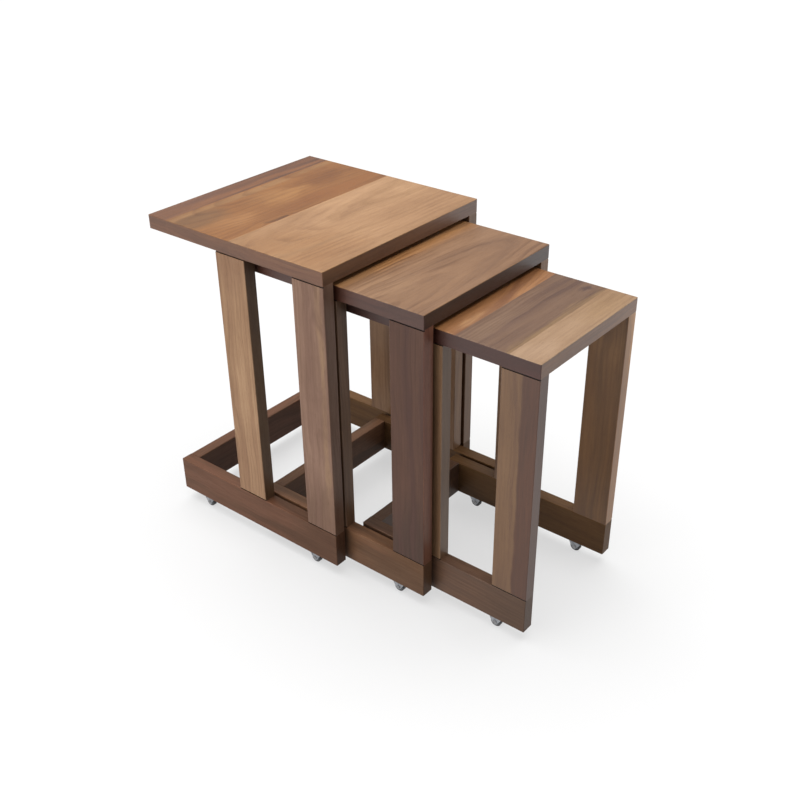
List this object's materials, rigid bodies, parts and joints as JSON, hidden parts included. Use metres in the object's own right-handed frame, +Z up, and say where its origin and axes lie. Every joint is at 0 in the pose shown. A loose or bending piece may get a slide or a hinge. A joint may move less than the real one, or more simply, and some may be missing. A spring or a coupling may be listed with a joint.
{
  "type": "nesting tables",
  "caption": "Wooden side tables of stepped sizes with board tops, flat legs and U-shaped bases on small fixed casters, each rolling under the next larger one.",
  "frame": {"origin": "on the floor under the centre of the nest's box, with the medium table pulled 173 mm out of the large one and the small table 187 mm further", "axes": "+Z up; X across the fronts, +X to the right of a person facing them; the smaller tables pull out along -Y"},
  "size_m": [0.41, 0.768, 0.6],
  "materials": {
    "top_walnut": "satin",
    "leg_walnut": "satin",
    "base_walnut": "satin",
    "dowel_beech": "matte",
    "zinc_plated_steel": "satin",
    "axle_steel": "satin",
    "screw_steel": "satin",
    "wheel_rubber": "matte"
  },
  "bodies": {
    "large_table": {"large_front_top_board": "top_walnut", "large_middle_top_board": "top_walnut", "large_rear_top_board": "top_walnut", "large_left_base_rail": "base_walnut", "large_right_base_rail": "base_walnut", "large_back_base_rail": "base_walnut", "large_front_left_leg": "leg_walnut", "large_front_right_leg": "leg_walnut", "large_rear_left_leg": "leg_walnut", "large_rear_right_leg": "leg_walnut", "large_dowels": "dowel_beech", "large_caster_brackets": "zinc_plated_steel", "large_caster_axles": "axle_steel", "large_caster_screws": "screw_steel"},
    "large_front_left_wheel": {"large_front_left_wheel": "wheel_rubber"},
    "large_front_right_wheel": {"large_front_right_wheel": "wheel_rubber"},
    "large_rear_left_wheel": {"large_rear_left_wheel": "wheel_rubber"},
    "large_rear_right_wheel": {"large_rear_right_wheel": "wheel_rubber"},
    "medium_table": {"medium_front_top_board": "top_walnut", "medium_rear_top_board": "top_walnut", "medium_left_base_rail": "base_walnut", "medium_right_base_rail": "base_walnut", "medium_back_base_rail": "base_walnut", "medium_front_left_leg": "leg_walnut", "medium_front_right_leg": "leg_walnut", "medium_rear_left_leg": "leg_walnut", "medium_rear_right_leg": "leg_walnut", "medium_dowels": "dowel_beech", "medium_caster_brackets": "zinc_plated_steel", "medium_caster_axles": "axle_steel", "medium_caster_screws": "screw_steel"},
    "medium_front_left_wheel": {"medium_front_left_wheel": "wheel_rubber"},
    "medium_front_right_wheel": {"medium_front_right_wheel": "wheel_rubber"},
    "medium_rear_left_wheel": {"medium_rear_left_wheel": "wheel_rubber"},
    "medium_rear_right_wheel": {"medium_rear_right_wheel": "wheel_rubber"},
    "small_table": {"small_front_top_board": "top_walnut", "small_second_top_board": "top_walnut", "small_third_top_board": "top_walnut", "small_rear_top_board": "top_walnut", "small_left_base_rail": "base_walnut", "small_right_base_rail": "base_walnut", "small_back_base_rail": "base_walnut", "small_front_left_leg": "leg_walnut", "small_front_right_leg": "leg_walnut", "small_rear_left_leg": "leg_walnut", "small_rear_right_leg": "leg_walnut", "small_dowels": "dowel_beech", "small_caster_brackets": "zinc_plated_steel", "small_caster_axles": "axle_steel", "small_caster_screws": "screw_steel"},
    "small_front_left_wheel": {"small_front_left_wheel": "wheel_rubber"},
    "small_front_right_wheel": {"small_front_right_wheel": "wheel_rubber"},
    "small_rear_left_wheel": {"small_rear_left_wheel": "wheel_rubber"},
    "small_rear_right_wheel": {"small_rear_right_wheel": "wheel_rubber"}
  },
  "joints": [
    {"name": "medium_slide", "type": "slide", "parent": "large_table", "child": "medium_table", "axis": [0, -1, 0], "range_m": [-0.173, 0.255]},
    {"name": "small_slide", "type": "slide", "parent": "medium_table", "child": "small_table", "axis": [0, -1, 0], "range_m": [-0.187, 0.241]},
    {"name": "large_front_left_wheel_spin", "type": "hinge", "parent": "large_table", "child": "large_front_left_wheel", "pos_m": [-0.193, 0.037, 0.01], "axis": [1, 0, 0], "continuous": true},
    {"name": "large_front_right_wheel_spin", "type": "hinge", "parent": "large_table", "child": "large_front_right_wheel", "pos_m": [0.193, 0.037, 0.01], "axis": [1, 0, 0], "continuous": true},
    {"name": "large_rear_left_wheel_spin", "type": "hinge", "parent": "large_table", "child": "large_rear_left_wheel", "pos_m": [-0.193, 0.323, 0.01], "axis": [1, 0, 0], "continuous": true},
    {"name": "large_rear_right_wheel_spin", "type": "hinge", "parent": "large_table", "child": "large_rear_right_wheel", "pos_m": [0.193, 0.323, 0.01], "axis": [1, 0, 0], "continuous": true},
    {"name": "medium_front_left_wheel_spin", "type": "hinge", "parent": "medium_table", "child": "medium_front_left_wheel", "pos_m": [-0.162, -0.136, 0.01], "axis": [1, 0, 0], "continuous": true},
    {"name": "medium_front_right_wheel_spin", "type": "hinge", "parent": "medium_table", "child": "medium_front_right_wheel", "pos_m": [0.162, -0.136, 0.01], "axis": [1, 0, 0], "continuous": true},
    {"name": "medium_rear_left_wheel_spin", "type": "hinge", "parent": "medium_table", "child": "medium_rear_left_wheel", "pos_m": [-0.162, 0.121, 0.01], "axis": [1, 0, 0], "continuous": true},
    {"name": "medium_rear_right_wheel_spin", "type": "hinge", "parent": "medium_table", "child": "medium_rear_right_wheel", "pos_m": [0.162, 0.121, 0.01], "axis": [1, 0, 0], "continuous": true},
    {"name": "small_front_left_wheel_spin", "type": "hinge", "parent": "small_table", "child": "small_front_left_wheel", "pos_m": [-0.131, -0.323, 0.01], "axis": [1, 0, 0], "continuous": true},
    {"name": "small_front_right_wheel_spin", "type": "hinge", "parent": "small_table", "child": "small_front_right_wheel", "pos_m": [0.131, -0.323, 0.01], "axis": [1, 0, 0], "continuous": true},
    {"name": "small_rear_left_wheel_spin", "type": "hinge", "parent": "small_table", "child": "small_rear_left_wheel", "pos_m": [-0.131, -0.095, 0.01], "axis": [1, 0, 0], "continuous": true},
    {"name": "small_rear_right_wheel_spin", "type": "hinge", "parent": "small_table", "child": "small_rear_right_wheel", "pos_m": [0.131, -0.095, 0.01], "axis": [1, 0, 0], "continuous": true}
  ]
}
